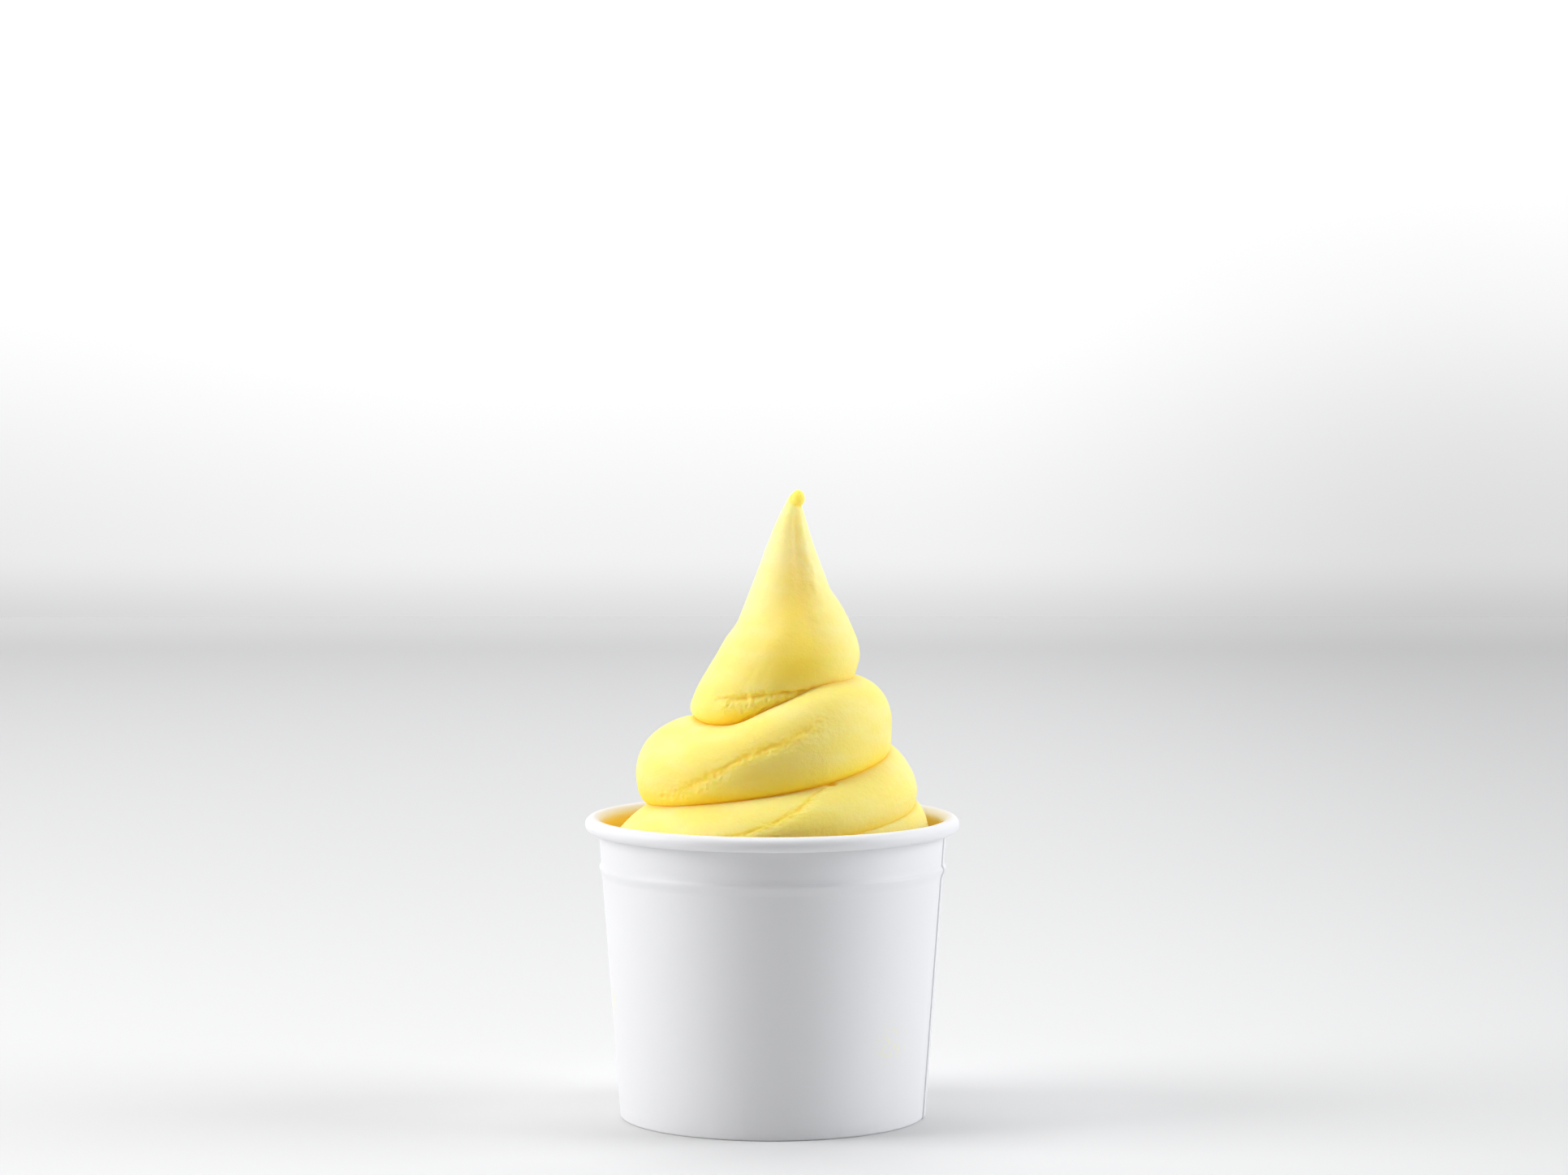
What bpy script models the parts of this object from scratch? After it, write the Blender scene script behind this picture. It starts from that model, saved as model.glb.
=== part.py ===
"""A paper dessert cup filled with a piped swirl of frozen yogurt.

Three pieces: the cup's sidewall with its rolled rim, the cup's recessed base,
and the yogurt, which is one body from the fill up to the hooked tip.
"""

import math

import bmesh
import bpy
import numpy as np
from mathutils import Vector

MM = 0.001

# The paper cup
CUP_HEIGHT = 68.5 * MM
PAPER = 0.5 * MM
FOOT_RADIUS = 34.6 * MM            # outer radius at the foot
NECK_RADIUS = 39.3 * MM            # outer radius just under the rim
NECK_HEIGHT = 64.7 * MM
RIM_RADIUS = 42.5 * MM             # outermost radius of the rolled rim
ROLL_RADIUS = 1.85 * MM            # outside radius of the roll's cross-section
ROLL_END_ANGLE = -110.0            # where the roll's free edge stops, in degrees
ROLL_STEPS = 9
BAND_HEIGHT = 56.3 * MM            # middle of the raised ring under the rim
BAND_HALF = 1.6 * MM
BAND_PROUD = 0.5 * MM
BAND_SHAPE = ((1.0, 0.0), (0.55, 1.0), (-0.1, 0.8), (-1.0, 0.0))   # (height, proud), steepest above
RECESS = 7.0 * MM                  # how far the base disc sits above the foot
SKIRT_HEIGHT = 5.4 * MM            # top of the folded-in lower edge
GAP = 0.3 * MM                     # between pieces that touch
CUP_STEPS = 56

# The yogurt: each row is one station along the piped rope, counted in turns.
# Turn 0 is at +X and a quarter turn back from it is the front. A station holds
# the crease under the rope (radius, height), the rope's widest place (radius,
# height), and how round its shoulder is: 2 is an ellipse, 1 a straight slope.
# Lengths in millimetres.
ROPE = (
    (-4.00, 39.0, 36.0, 40.0, 44.0, 2.00),
    (-3.00, 39.0, 49.0, 36.0, 60.5, 2.00),
    (-2.50, 38.6, 56.0, 38.4, 60.0, 1.25),
    (-2.25, 36.0, 64.6, 36.6, 68.0, 1.70),
    (-2.12, 34.0, 69.0, 34.8, 72.4, 1.80),
    (-2.00, 31.9, 71.8, 32.6, 75.0, 1.55),
    (-1.75, 30.5, 72.0, 32.4, 78.5, 1.90),
    (-1.50, 27.8, 71.2, 30.8, 78.4, 2.00),
    (-1.25, 26.6, 75.9, 29.4, 82.5, 2.00),
    (-1.00, 26.3, 84.3, 27.0, 89.4, 1.80),
    (-0.75, 20.5, 88.5, 23.5, 94.5, 1.70),
    (-0.50, 17.0, 90.9, 19.2, 94.0, 1.42),
    (-0.40, 16.3, 90.1, 19.4, 95.5, 1.50),
    (-0.32, 16.0, 91.2, 19.4, 98.0, 1.50),
    (-0.25, 15.8, 95.2, 19.2, 100.0, 1.50),
    (-0.18, 16.0, 99.4, 18.6, 102.0, 1.45),
    (-0.10, 16.4, 100.3, 17.7, 103.6, 1.40),
    (0.00, 15.2, 100.2, 16.0, 104.8, 1.40),
    (0.25, 12.2, 103.6, 14.0, 108.0, 1.30),
    (0.50, 11.8, 112.2, 11.9, 112.9, 1.00),
    (0.75, 10.2, 117.5, 10.3, 118.6, 1.00),
    (1.00, 8.3, 121.2, 8.3, 121.8, 1.06),
    (1.50, 5.3, 130.0, 5.3, 130.5, 1.15),
    (2.00, 0.0, 142.0, 0.0, 142.0, 1.20),
)
UNDERSIDE_SHARE = 0.32             # share of a rope's section that lies under its widest place
STEPS_PER_TURN = 26
SECTION_STEPS = 12
LEAN = 4.1 * MM                    # the cone stands off the cup's axis, towards +X
LEAN_FROM = 88.0 * MM
LEAN_TO = 110.0 * MM
TIP_LEAN = 0.8 * MM                # and its tip a little more
TIP_LEAN_FROM = 128.0 * MM
TIP_LEAN_TO = 140.0 * MM
FILL_TOP = 50.0 * MM               # below this the yogurt simply fills the cup
WALL_CONTACT_TOP = 66.0 * MM
TIP_CENTRE = (5.9 * MM, -0.3 * MM, 140.7 * MM)
TIP_RADIUS = 1.9 * MM
WELD = 0.01 * MM

PAPER_COLOUR = (0.86, 0.86, 0.87, 1.0)
YOGURT_COLOUR = (0.95, 0.80, 0.24, 1.0)


def clear_scene():
    for old in list(bpy.data.objects):
        bpy.data.objects.remove(old, do_unlink=True)


def new_collection(name):
    collection = bpy.data.collections.new(name)
    bpy.context.scene.collection.children.link(collection)
    return collection


def principled(name, colour, roughness):
    material = bpy.data.materials.new(name)
    material.use_nodes = True
    shader = material.node_tree.nodes["Principled BSDF"]
    shader.inputs["Base Color"].default_value = colour
    shader.inputs["Roughness"].default_value = roughness
    shader.inputs["Metallic"].default_value = 0.0
    return material


def add_object(name, mesh, collection, material):
    mesh.materials.append(material)
    mesh.shade_smooth()
    mesh.set_sharp_from_angle(angle=math.radians(40))
    piece = bpy.data.objects.new(name, mesh)
    collection.objects.link(piece)
    return piece


def outer_wall_radius(height):
    """Outer radius of the tapered sidewall at a height."""
    return FOOT_RADIUS + (NECK_RADIUS - FOOT_RADIUS) * height / NECK_HEIGHT


def turned_shell(name, path, collection, material):
    """Spin an open outline of (radius, height) points and give it the paper's thickness."""
    mesh = bpy.data.meshes.new(name)
    bm = bmesh.new()
    verts = [bm.verts.new((radius, 0.0, height)) for radius, height in path]
    for first, second in zip(verts, verts[1:]):
        bm.edges.new((first, second))
    bm.to_mesh(mesh)
    bm.free()
    piece = add_object(name, mesh, collection, material)
    screw = piece.modifiers.new("turn", "SCREW")
    screw.axis = "Z"
    screw.steps = CUP_STEPS
    screw.render_steps = CUP_STEPS
    screw.use_merge_vertices = True
    screw.merge_threshold = WELD
    screw.use_smooth_shade = True
    paper = piece.modifiers.new("paper", "SOLIDIFY")
    paper.thickness = PAPER
    paper.offset = -1.0
    paper.use_even_offset = True
    return piece


def roll_points():
    """The rolled rim, from its free edge round over the top and down to the wall.

    The paper lies outside this arc, so the arc is the roll's inner face.
    """
    inner = ROLL_RADIUS - PAPER
    centre_radius = RIM_RADIUS - ROLL_RADIUS
    centre_height = CUP_HEIGHT - ROLL_RADIUS
    points = []
    for step in range(ROLL_STEPS):
        angle = math.radians(ROLL_END_ANGLE + (180.0 - ROLL_END_ANGLE) * step / (ROLL_STEPS - 1))
        points.append((centre_radius + inner * math.cos(angle), centre_height + inner * math.sin(angle)))
    return points


def build_sidewall(collection, material):
    """Tapered wall with a rolled rim, a raised ring, and its lower edge folded in and up."""
    path = roll_points()
    path.append((outer_wall_radius(NECK_HEIGHT), NECK_HEIGHT))
    for offset, proud in BAND_SHAPE:
        height = BAND_HEIGHT + offset * BAND_HALF
        path.append((outer_wall_radius(height) + proud * BAND_PROUD, height))
    path.append((outer_wall_radius(RECESS), RECESS))
    path.append((outer_wall_radius(0.0), 0.0))
    fold = 3.0 * PAPER + 2.0 * GAP
    path.append((outer_wall_radius(0.0) - fold, 0.0))
    path.append((outer_wall_radius(SKIRT_HEIGHT) - fold, SKIRT_HEIGHT))
    return turned_shell("cup_sidewall", path, collection, material)


def build_base(collection, material):
    """Recessed disc with its edge turned down between the wall and the wall's folded-in edge."""
    inset = PAPER + GAP
    bend = PAPER
    path = [
        (0.0, RECESS),
        (0.5 * FOOT_RADIUS, RECESS),
        (outer_wall_radius(RECESS) - inset - bend, RECESS),
        (outer_wall_radius(RECESS) - inset, RECESS - bend),
        (outer_wall_radius(PAPER + GAP) - inset, PAPER + GAP),
    ]
    return turned_shell("cup_base", path, collection, material)


def along_rope(turns, column):
    """One column of ROPE at any number of turns, as a smooth curve through the stations."""
    table = np.array(ROPE)
    at, value = table[:, 0], table[:, column]
    step = np.diff(at)
    slope = np.diff(value) / step
    tangent = np.concatenate((slope[:1], slope[1:], slope[-1:]))
    tangent[1:-1] = (slope[:-1] * step[1:] + slope[1:] * step[:-1]) / (step[1:] + step[:-1])
    turns = np.clip(turns, at[0], at[-1])
    index = np.clip(np.searchsorted(at, turns, side="right") - 1, 0, len(at) - 2)
    t = (turns - at[index]) / step[index]
    return (
        (2 * t**3 - 3 * t**2 + 1) * value[index]
        + (t**3 - 2 * t**2 + t) * step[index] * tangent[index]
        + (3 * t**2 - 2 * t**3) * value[index + 1]
        + (t**3 - t**2) * step[index] * tangent[index + 1]
    )


def lean(height):
    """How far the swirl's axis stands off the cup's axis, along +X."""
    s = np.clip((height - LEAN_FROM) / (LEAN_TO - LEAN_FROM), 0.0, 1.0)
    t = np.clip((height - TIP_LEAN_FROM) / (TIP_LEAN_TO - TIP_LEAN_FROM), 0.0, 1.0)
    return LEAN * s * s * (3.0 - 2.0 * s) + TIP_LEAN * t


def rope_surface(turns, share):
    """Points on the piped rope: share 0 is the crease under it, 1 the crease above it."""
    low_radius, low_height = along_rope(turns, 1) * MM, along_rope(turns, 2) * MM
    top_radius, top_height = along_rope(turns + 1, 1) * MM, along_rope(turns + 1, 2) * MM
    mid_radius, mid_height = along_rope(turns, 3) * MM, along_rope(turns, 4) * MM
    power = 2.0 / along_rope(turns, 5)
    under = np.clip(share / UNDERSIDE_SHARE, 0.0, 1.0) * math.pi / 2
    over = np.clip((share - UNDERSIDE_SHARE) / (1.0 - UNDERSIDE_SHARE), 0.0, 1.0) * math.pi / 2
    below = share < UNDERSIDE_SHARE
    radius = np.where(
        below,
        low_radius + (mid_radius - low_radius) * np.sin(under),
        top_radius + (mid_radius - top_radius) * np.cos(over) ** power,
    )
    height = np.where(
        below,
        mid_height - (mid_height - low_height) * np.cos(under),
        mid_height + (top_height - mid_height) * np.sin(over) ** power,
    )
    wall = outer_wall_radius(height) - PAPER - GAP
    radius = np.where(height < WALL_CONTACT_TOP, np.minimum(radius, wall), radius)
    angle = 2.0 * math.pi * turns
    return np.stack((radius * np.cos(angle) + lean(height), radius * np.sin(angle), height), axis=-1)


def rope_mesh():
    """A sheet wrapped round and round along the rope, its edges welded turn to turn."""
    first, last = ROPE[0][0], ROPE[-1][0]
    steps = round((last - first) * STEPS_PER_TURN)
    bm = bmesh.new()
    bmesh.ops.create_grid(bm, x_segments=steps, y_segments=SECTION_STEPS, size=1.0)
    flat = np.array([vert.co[:2] for vert in bm.verts])
    turns = first + (last - first) * np.round((flat[:, 0] + 1.0) / 2.0 * steps) / steps
    share = np.round((flat[:, 1] + 1.0) / 2.0 * SECTION_STEPS) / SECTION_STEPS
    for vert, point in zip(bm.verts, rope_surface(turns, share)):
        vert.co = point
    bmesh.ops.remove_doubles(bm, verts=bm.verts[:], dist=WELD)
    bmesh.ops.dissolve_degenerate(bm, edges=bm.edges[:], dist=WELD)
    return bm


def fill_below(bm):
    """Cut the rope off level inside the cup and carry the cut down to the base as one fill."""
    parts = bm.verts[:] + bm.edges[:] + bm.faces[:]
    bmesh.ops.bisect_plane(
        bm, geom=parts, plane_co=(0.0, 0.0, FILL_TOP), plane_no=(0.0, 0.0, 1.0), dist=WELD, clear_inner=True
    )
    rim = [edge for edge in bm.edges if edge.is_boundary]
    extruded = bmesh.ops.extrude_edge_only(bm, edges=rim)["geom"]
    lower = [item for item in extruded if isinstance(item, bmesh.types.BMVert)]
    floor = RECESS + GAP
    floor_radius = outer_wall_radius(floor) - PAPER - GAP
    for vert in lower:
        outward = Vector((vert.co.x, vert.co.y, 0.0)).normalized()
        vert.co = outward * floor_radius
        vert.co.z = floor
    bmesh.ops.holes_fill(bm, edges=[edge for edge in bm.edges if edge.is_boundary], sides=0)
    bmesh.ops.recalc_face_normals(bm, faces=bm.faces[:])


def build_yogurt(collection, cutters, material):
    """The swirl and its fill as one body, with the small curl at the tip joined on."""
    bm = rope_mesh()
    fill_below(bm)
    mesh = bpy.data.meshes.new("frozen_yogurt")
    bm.to_mesh(mesh)
    bm.free()
    piece = add_object("frozen_yogurt", mesh, collection, material)

    bead = bmesh.new()
    bmesh.ops.create_icosphere(bead, subdivisions=2, radius=TIP_RADIUS)
    bmesh.ops.translate(bead, vec=TIP_CENTRE, verts=bead.verts[:])
    bead_mesh = bpy.data.meshes.new("tip_curl")
    bead.to_mesh(bead_mesh)
    bead.free()
    tip = add_object("tip_curl", bead_mesh, cutters, material)
    tip.hide_render = True
    tip.display_type = "WIRE"
    join = piece.modifiers.new("tip curl", "BOOLEAN")
    join.operation = "UNION"
    join.solver = "EXACT"
    join.object = tip
    return piece


def main():
    clear_scene()
    collection = new_collection("frozen_yogurt_cup")
    cutters = new_collection("cutters")
    paper = principled("cup_paper", PAPER_COLOUR, 0.45)
    yogurt = principled("yogurt", YOGURT_COLOUR, 0.5)
    build_sidewall(collection, paper)
    build_base(collection, paper)
    build_yogurt(collection, cutters, yogurt)


main()
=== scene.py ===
"""Frozen yogurt in a paper cup: piped swirl, wrapped and rolled sidewall, recessed base, pale studio."""

import math

import bmesh
import bpy
import numpy as np
from bpy.props import FloatProperty, FloatVectorProperty, PointerProperty
from mathutils import Matrix, Vector, noise


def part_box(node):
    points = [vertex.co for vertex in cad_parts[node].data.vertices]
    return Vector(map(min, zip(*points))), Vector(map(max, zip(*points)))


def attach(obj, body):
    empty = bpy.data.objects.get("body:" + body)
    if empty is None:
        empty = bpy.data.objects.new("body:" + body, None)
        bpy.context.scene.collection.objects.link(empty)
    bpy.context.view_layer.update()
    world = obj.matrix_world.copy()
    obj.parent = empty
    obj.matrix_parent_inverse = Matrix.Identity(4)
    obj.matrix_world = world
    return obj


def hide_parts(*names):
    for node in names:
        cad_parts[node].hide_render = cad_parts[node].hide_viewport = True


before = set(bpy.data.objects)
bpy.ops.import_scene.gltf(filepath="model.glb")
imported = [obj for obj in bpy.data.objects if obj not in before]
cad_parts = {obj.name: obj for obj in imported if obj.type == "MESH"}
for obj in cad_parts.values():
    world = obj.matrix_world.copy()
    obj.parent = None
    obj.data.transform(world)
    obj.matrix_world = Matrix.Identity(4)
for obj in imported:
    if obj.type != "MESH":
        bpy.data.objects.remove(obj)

bl_info = {
    "name": "Frozen Yogurt Cup",
    "version": (1, 0, 0),
    "blender": (4, 5, 0),
    "location": "3D View > Sidebar > Dessert",
    "description": "Models a paper cup of frozen yogurt and the studio round it",
    "category": "Add Mesh",
}

MM = 0.001
BODY = "root"
# The crease attribute masks the swirl's painted shade and painted glow: its creases, undersides, folds and
# the front of the cone's valley. It also gives the drop at the tip the same deep colour.
CREASE = "crease"                  # the swirl's own attribute: 1 down in a crease, 0 on open yogurt

CUP_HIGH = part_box("cup_sidewall")[1]
BASE_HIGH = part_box("cup_base")[1]
YOGURT_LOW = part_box("frozen_yogurt")[0]
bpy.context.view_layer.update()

# The cup's profile
NECK_HEIGHT = 64.7 * MM            # underside of the rolled rim
ROLL_RADIUS = 1.85 * MM            # outside radius of the roll's cross-section
ROLL_TURN = 400.0                  # how far the paper is curled, in degrees
ROLL_TIGHTENS = 0.62               # the curl's inner end, as a share of the roll's radius
ROLL_STEPS = 36
BAND_HEIGHT = 56.3 * MM            # middle of the raised ring under the rim
BAND_HALF = 1.6 * MM
BAND_PROUD = 0.5 * MM
BAND_PEAK = 0.45                   # where the ring's peak is, from its middle (0) to its top (1)
BAND_STEPS = 12
WALL_STEPS = 22
SEAM_ANGLE = -10.4                 # degrees round from +X; the outer layer's cut edge faces the front
LAP_ANGLE = 11.0                   # how much of the wall is double at the seam
LAP_EASE = 5.0                     # degrees over which the outer layer comes down to the wall
LAP_PRESSED = 0.62                 # how far the outer layer stands off the inner one, in thicknesses
AROUND_STEPS = 288
SKIRT_HEIGHT = 5.4 * MM
FOOT_ROUND = 0.5 * MM
FOOT_STEPS = 4
CRIMPS = 22                        # faint upright marks where the foot was pressed
CRIMP_DEPTH = 0.07 * MM
CRIMP_HEIGHT = 5.0 * MM
CRIMP_SHARPNESS = 14.0
GAP = 0.3 * MM
RIGHT_SMUDGE, RIGHT_SMUDGE_REACH = (26.8 * MM, -24.0 * MM, 20.0 * MM), 7.5 * MM
LEFT_SMUDGE, LEFT_SMUDGE_REACH = (-36.0 * MM, -7.0 * MM, 26.0 * MM), 6.0 * MM
FILM_FROM, FILM_FULL = 0.030, 0.040            # heights up the wall's inside, in metres
FILM_FADES, FILM_GONE = 0.0655, 0.0675

# The piped rope. Each row is one station along it, counted in turns. Turn 0 is at +X and a
# quarter turn back from it is the front. A station holds the crease under the rope (radius,
# height), the rope's widest place (radius, height), and how round its shoulder is: 2 is an
# ellipse, 1 a straight slope. Lengths in millimetres.
ROPE = (
    (-4.00, 39.0, 36.0, 40.0, 44.0, 2.00),
    (-3.00, 39.0, 49.0, 36.0, 60.5, 2.00),
    (-2.50, 38.6, 56.0, 38.4, 60.0, 1.25),
    (-2.25, 36.0, 64.6, 36.6, 68.0, 1.70),
    (-2.12, 34.0, 69.0, 34.8, 72.4, 1.80),
    (-2.00, 31.9, 71.8, 32.6, 75.0, 1.55),
    (-1.75, 30.5, 72.0, 32.4, 78.5, 1.90),
    (-1.50, 27.8, 71.2, 30.8, 78.4, 2.00),
    (-1.25, 26.6, 75.9, 29.4, 82.5, 2.00),
    (-1.00, 26.3, 84.3, 27.0, 89.4, 1.80),
    (-0.75, 20.5, 88.5, 23.5, 94.5, 1.70),
    (-0.50, 17.0, 90.9, 19.2, 94.0, 1.42),
    (-0.40, 16.3, 90.1, 19.4, 95.5, 1.50),
    (-0.32, 16.6, 91.2, 19.4, 98.0, 1.50),
    (-0.25, 17.4, 95.4, 19.2, 100.0, 1.50),
    (-0.18, 17.8, 99.2, 18.6, 102.0, 1.45),
    (-0.10, 17.3, 100.2, 17.7, 103.6, 1.40),
    (0.00, 15.5, 100.2, 16.0, 104.8, 1.40),
    (0.25, 12.2, 103.6, 14.0, 108.0, 1.30),
    (0.50, 11.8, 112.2, 11.9, 112.9, 1.00),
    (0.75, 10.2, 117.5, 10.3, 118.6, 1.00),
    (1.00, 9.1, 119.6, 9.1, 120.2, 1.06),
    (1.50, 5.3, 130.0, 5.3, 130.5, 1.05),
    (2.00, 2.5, 137.7, 2.5, 138.0, 1.05),
    (2.50, 1.3, 140.5, 1.3, 140.8, 1.10),
    (3.00, 0.0, 142.3, 0.0, 142.3, 1.50),
)
FIRST_TURN = -3.5
UNDERSIDE_SHARE = 0.32             # share of a rope's section that lies under its widest place
CONE_UNDERSIDE_SHARE = 0.05        # the same where the rope is drawn out into the cone
SECTION = 23.0 * MM                # length of the rope's section, from crease to crease
DEEP_CREASE = 1.2                  # a crease this many millimetres in from the widest place is deep
SHALLOWEST_CREASE = 0.15           # the least that a crease counts as
STEPS_PER_TURN = 216
SECTION_STEPS = 52
LEAN = 4.1 * MM                    # the cone stands off the cup's axis, towards +X
LEAN_FROM, LEAN_TO = 88.0 * MM, 110.0 * MM
TIP_LEAN = 1.15 * MM
TIP_LEAN_FROM, TIP_LEAN_TO = 128.0 * MM, 143.0 * MM
BEAD_CENTRE = np.array((5.97, -0.95, 140.72)) * MM   # the drop left hooked over at the tip
BEAD_RADII = np.array((1.50, 1.48, 1.90)) * MM
BEAD_HEART = np.array((5.35, -0.50, 140.4)) * MM     # a point inside both the tip and the drop
BEAD_SMOOTHING = 4
APEX_RADIUS = 0.45 * MM
CONE_FROM = 106.0 * MM
EVEN_FROM, EVEN_FULL = 119.5 * MM, 127.0 * MM      # the cone is brought to an even radius here
EVEN_FADES, EVEN_GONE = 139.5 * MM, 141.5 * MM
CONE_GRAIN = 0.8                   # the cone's unevenness, as a share of the rope's
CONE_LUMPS = 3.4 * MM
CONE_GRAIN_FROM, CONE_GRAIN_FULL = 112.0 * MM, 118.0 * MM
VALLEY_ANGLE = -74.0               # a soft upright valley down the cone, in degrees round its axis
VALLEY_FROM, VALLEY_TO = 108.0 * MM, 139.0 * MM
VALLEY_DEPTH = 0.55 * MM
VALLEY_HALF_WIDTH = 2.2 * MM
RIDGE_OFFSET = 3.4 * MM            # a lumpy ridge runs beside the valley, on its right
RIDGE_HEIGHT = 0.30 * MM
# Painted shade: a deeper colour down the front half of the cone's valley, set a little off its middle; the
# drop at the tip gets the same deep colour.
VALLEY_TINT = 0.55                 # how deep in colour the valley and the drop are
VALLEY_TINT_TURN = 8.0             # degrees that the tint stands off the valley's middle
VALLEY_TINT_SPREAD = 0.45          # its half-width, as a share of the cone's radius
VALLEY_TINT_FROM, VALLEY_TINT_FULL = 96.0 * MM, 104.0 * MM
VALLEY_TINT_FADES, VALLEY_TINT_GONE = 112.0 * MM, 138.0 * MM
CREASES_FADE, CREASES_GONE = 102.0 * MM, 112.0 * MM
BEAD_TINT_REACH, BEAD_TINT_GONE = 1.6 * MM, 2.6 * MM
FILL_TOP = 57.0 * MM               # below this the yogurt simply fills the cup
WALL_CONTACT_TOP = 66.0 * MM
WELD = 0.002 * MM

# Folds that run along the rope: (turn, share of the section), then the furrow's depth
# and half-width, the height and width of the rolled edge under it, and how torn that edge is.
FOLDS = (
    {
        "route": ((-1.175, 0.58), (-1.20, 0.545), (-1.225, 0.505), (-1.245, 0.48), (-1.267, 0.46),
                  (-1.285, 0.425), (-1.304, 0.36), (-1.342, 0.27), (-1.371, 0.21), (-1.42, 0.14)),
        "depth": 0.34 * MM, "half_width": 0.50 * MM, "edge": 0.28 * MM, "edge_width": 1.8 * MM,
        "torn": 0.28 * MM,
    },
    {
        "route": ((-2.165, 0.94), (-2.183, 0.90), (-2.204, 0.76), (-2.221, 0.64), (-2.246, 0.51),
                  (-2.275, 0.43), (-2.33, 0.37)),
        "depth": 0.34 * MM, "half_width": 0.50 * MM, "edge": 0.26 * MM, "edge_width": 1.8 * MM,
        "torn": 0.26 * MM,
    },
    {
        "route": ((-0.178, 0.05), (-0.198, 0.10), (-0.22, 0.175), (-0.246, 0.235), (-0.279, 0.265),
                  (-0.317, 0.285), (-0.354, 0.31), (-0.375, 0.32)),
        "depth": 1.00 * MM, "half_width": 0.42 * MM, "edge": 0.75 * MM, "edge_width": 2.0 * MM,
        "torn": 0.36 * MM,
    },
    {
        "route": ((-0.21, 0.05), (-0.235, 0.10), (-0.262, 0.13), (-0.29, 0.12), (-0.315, 0.10)),
        "depth": 0.40 * MM, "half_width": 0.36 * MM, "edge": 0.15 * MM, "edge_width": 0.8 * MM,
        "torn": 0.22 * MM,
    },
    {
        "route": ((-0.272, 0.62), (-0.283, 0.52), (-0.293, 0.42), (-0.300, 0.36)),
        "depth": 0.15 * MM, "half_width": 1.00 * MM, "edge": 0.04 * MM, "edge_width": 1.1 * MM,
        "torn": 0.03 * MM,
    },
    {
        "route": ((-0.298, 0.60), (-0.310, 0.50), (-0.322, 0.40), (-0.330, 0.34)),
        "depth": 0.13 * MM, "half_width": 0.95 * MM, "edge": 0.03 * MM, "edge_width": 1.1 * MM,
        "torn": 0.03 * MM,
    },
)
# Painted shade: the yogurt's colour is deeper near a fold, up its underside from a crease, and just under
# the crease above, where the swirl shades itself.
FOLD_TINT_WIDTH = 1.1 * MM         # how far from a fold the yogurt's colour is deeper
FOLD_TINT = 0.5
UNDER_TINT_REACH = 0.34            # share of the section, up from a crease, with a deeper colour
OVER_TINT_FROM, OVER_TINT = 0.91, 0.9
FOLD_FADE = 0.012                  # turns over which a fold dies out at either end
FINE_REACH = 0.13                  # share of the section, either side of a fold, with a finer mesh
FINE_CUTS = 2
NOTCH_TURN, NOTCH_SHARE = -2.172, 0.93   # a small torn notch where a fold meets the crease above it
NOTCH_DEPTH, NOTCH_RADIUS = 0.9 * MM, 1.0 * MM


class CupSettings(bpy.types.PropertyGroup):
    """Sizes and colours of the paper cup."""

    height: FloatProperty(
        name="Height", description="From the foot to the top of the rolled rim",
        default=CUP_HIGH[2], min=0.02, unit="LENGTH",
    )
    rim_radius: FloatProperty(
        name="Rim radius", description="Outermost radius of the rolled rim",
        default=42.5 * MM, min=0.01, unit="LENGTH",
    )
    neck_radius: FloatProperty(
        name="Neck radius", description="Outer radius of the wall just under the rim",
        default=39.3 * MM, min=0.01, unit="LENGTH",
    )
    foot_radius: FloatProperty(
        name="Foot radius", description="Outer radius of the wall at the foot",
        default=34.6 * MM, min=0.01, unit="LENGTH",
    )
    paper: FloatProperty(
        name="Paper", description="Thickness of the coated board",
        default=0.42 * MM, min=0.0001, unit="LENGTH",
    )
    colour: FloatVectorProperty(
        name="Board", description="Colour of the coated board",
        subtype="COLOR", size=3, default=(0.80, 0.80, 0.815), min=0.0, max=1.0,
    )
    film: FloatVectorProperty(
        name="Film", description="Colour of the wall's inside, which the yogurt has wetted",
        subtype="COLOR", size=3, default=(0.88, 0.66, 0.13), min=0.0, max=1.0,
    )
    smudge: FloatVectorProperty(
        name="Smudge", description="Colour of the faint yogurt smudges on the wall",
        subtype="COLOR", size=3, default=(0.86, 0.83, 0.55), min=0.0, max=1.0,
    )


class YogurtSettings(bpy.types.PropertyGroup):
    """Colours and surface of the frozen yogurt."""

    colour: FloatVectorProperty(
        name="Yogurt", description="Colour of the yogurt",
        subtype="COLOR", size=3, default=(0.995, 0.77, 0.185), min=0.0, max=1.0,
    )
    # The pale colour is also a painted highlight that pales the swirl towards its top.
    pale: FloatVectorProperty(
        name="Pale streaks", description="Colour of the airier streaks",
        subtype="COLOR", size=3, default=(0.995, 0.855, 0.40), min=0.0, max=1.0,
    )
    # Painted shade: this deeper golden colour is laid where the swirl shades itself, in its creases, on its
    # undersides, along its folds and in the cone's valley; the drop at the tip gets it too.
    deep: FloatVectorProperty(
        name="Creases", description="Colour of the denser yogurt down in the creases",
        subtype="COLOR", size=3, default=(0.998, 0.68, 0.005), min=0.0, max=1.0,
    )
    # Painted glow: an emission laid in the creases, standing in for light that reaches them through the
    # yogurt.
    painted_glow: FloatVectorProperty(
        name="Seeping light", description="Light that reaches the creases through the yogurt",
        subtype="COLOR", size=3, default=(0.075, 0.045, 0.0), min=0.0, max=1.0,
    )
    undulation: FloatProperty(
        name="Undulation", description="Height of the rope's soft unevenness",
        default=0.16 * MM, min=0.0, unit="LENGTH",
    )
    translucency: FloatProperty(
        name="Translucency", description="How far light spreads inside the yogurt",
        default=7.5 * MM, min=0.0, unit="LENGTH",
    )


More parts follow.
